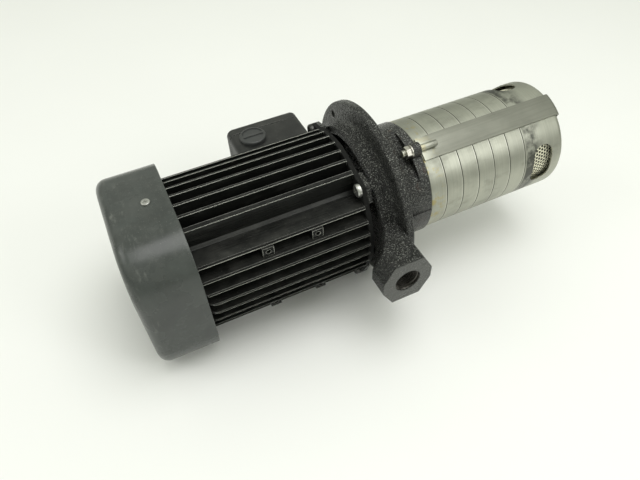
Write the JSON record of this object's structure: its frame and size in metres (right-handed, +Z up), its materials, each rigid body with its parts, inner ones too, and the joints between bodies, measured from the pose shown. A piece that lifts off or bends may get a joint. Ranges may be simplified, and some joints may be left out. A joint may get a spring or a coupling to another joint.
{
  "type": "immersible multistage coolant pump",
  "caption": "Vertical immersible coolant pump: finned motor with terminal box, cast flanged head with side discharge port, strapped stainless stages and strained suction end.",
  "frame": {"origin": "centre of the bounding box on the surface that the pump lies on, resting on its flange rim and the back edge of its fan cover", "axes": "+X towards the suction end (the shaft rises 4.48 degrees towards it), -Y out of the discharge port, +Y towards the terminal box, +Z up"},
  "size_m": [0.4446, 0.2236, 0.1798],
  "materials": {
    "cover_paint": "satin dark grey paint, scuffed",
    "motor_paint": "black paint on extruded aluminium, worn bright at the fin tips",
    "shield_paint": "black paint",
    "bare_aluminium": "as cast",
    "zinc_steel": "zinc plated",
    "core_steel": "laminated",
    "copper_wire": "varnished copper",
    "bearing_steel": "ground",
    "cage_steel": "pressed",
    "spring_steel": "dark",
    "box_plastic": "dark grey, semi matt",
    "gasket_rubber": "matt",
    "board_resin": "moulded",
    "plug_plastic": "moulded",
    "head_iron": "black paint over sand-cast iron",
    "seal_ceramic": "ground ceramic",
    "seal_metal": "stainless spring and carbon face",
    "stainless": "brushed round, warm tint",
    "inner_stainless": "pressed sheet",
    "strainer_sheet": "perforated, yellowed",
    "ring_ptfe": "carbon filled",
    "shaft_steel": "turned",
    "coupling_steel": "turned",
    "black_steel": "black oxide"
  },
  "bodies": {
    "pump_unit": {"fan_cover": "cover_paint", "fan_cover_screws": "zinc_steel", "rear_end_shield": "bare_aluminium", "end_shield_screws": "zinc_steel", "stator_housing": "motor_paint", "foot_blocks": "motor_paint", "stator_core": "core_steel", "stator_winding": "copper_wire", "drive_end_shield": "shield_paint", "stool_screws": "zinc_steel", "rear_bearing_outer": "bearing_steel", "drive_bearing_outer": "bearing_steel", "wave_spring": "spring_steel", "terminal_box_base": "box_plastic", "terminal_box_gasket": "gasket_rubber", "terminal_box_lid": "box_plastic", "terminal_box_screws": "zinc_steel", "terminal_board": "board_resin", "blanking_plugs": "plug_plastic", "pump_head": "head_iron", "seal_seat": "seal_ceramic", "head_o_ring": "gasket_rubber", "chamber_1": "stainless", "chamber_2": "stainless", "chamber_3": "stainless", "chamber_4": "stainless", "chamber_5": "stainless", "chamber_6": "stainless", "neck_rings": "ring_ptfe", "suction_casing": "stainless", "strainer": "strainer_sheet", "strap_upper": "stainless", "strap_lower": "stainless", "strap_nuts": "stainless", "strap_washers": "stainless", "bottom_bush": "ring_ptfe"},
    "shaft_line": {"motor_shaft": "shaft_steel", "rotor": "core_steel", "fan": "plug_plastic", "fan_clip": "spring_steel", "rear_bearing_inner": "bearing_steel", "drive_bearing_inner": "bearing_steel", "v_ring": "gasket_rubber", "coupling": "coupling_steel", "coupling_screws": "black_steel", "pump_shaft": "shaft_steel", "seal_rotor": "seal_metal", "impeller_1": "inner_stainless", "impeller_2": "inner_stainless", "impeller_3": "inner_stainless", "impeller_4": "inner_stainless", "impeller_5": "inner_stainless", "impeller_6": "inner_stainless", "impeller_spacers": "inner_stainless", "impeller_nut": "inner_stainless"},
    "drive_balls": {"drive_bearing_balls": "bearing_steel", "drive_bearing_cage": "cage_steel"},
    "rear_balls": {"rear_bearing_balls": "bearing_steel", "rear_bearing_cage": "cage_steel"}
  },
  "joints": [
    {"name": "shaft_spin", "type": "hinge", "parent": "pump_unit", "child": "shaft_line", "pos_m": [0.02089, 0.00525, 0.0902], "axis": [0.9969, 0, 0.0781], "continuous": true},
    {"name": "drive_cage_spin", "type": "hinge", "parent": "pump_unit", "child": "drive_balls", "pos_m": [-0.02337, 0.00525, 0.08673], "axis": [0.9969, 0, 0.0781], "continuous": true},
    {"name": "rear_cage_spin", "type": "hinge", "parent": "pump_unit", "child": "rear_balls", "pos_m": [-0.16952, 0.00525, 0.07528], "axis": [0.9969, 0, 0.0781], "continuous": true}
  ],
  "couplings": [
    {"joint": "drive_cage_spin", "follows": "shaft_spin", "ratio": 0.38149},
    {"joint": "rear_cage_spin", "follows": "shaft_spin", "ratio": 0.3808}
  ]
}
